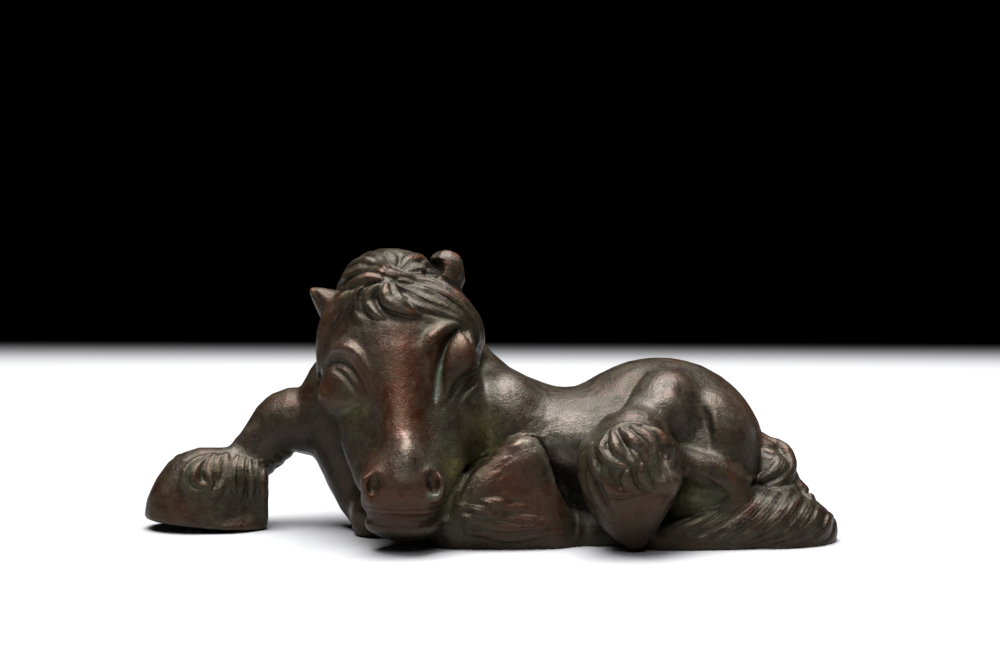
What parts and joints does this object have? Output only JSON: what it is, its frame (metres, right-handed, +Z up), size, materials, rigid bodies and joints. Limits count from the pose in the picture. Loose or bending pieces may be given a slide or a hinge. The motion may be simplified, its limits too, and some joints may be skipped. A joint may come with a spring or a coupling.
{
  "type": "bronze horse figurine",
  "caption": "Small cast bronze of a heavy feather-footed horse lying asleep, head turned to the viewer with its chin on the ground.",
  "frame": {"origin": "middle of the footprint's bounding box, on the ground", "axes": "+X along the body towards the tail, which is the right of the picture; -Y the side the face looks to; +Z up"},
  "size_m": [0.1208, 0.047, 0.0492],
  "materials": {
    "bronze": "dark brown patinated bronze, reddish where it is worn on the high forms, green in the hollows, soft sheen"
  },
  "bodies": {
    "root": {"horse": "bronze"}
  },
  "joints": []
}
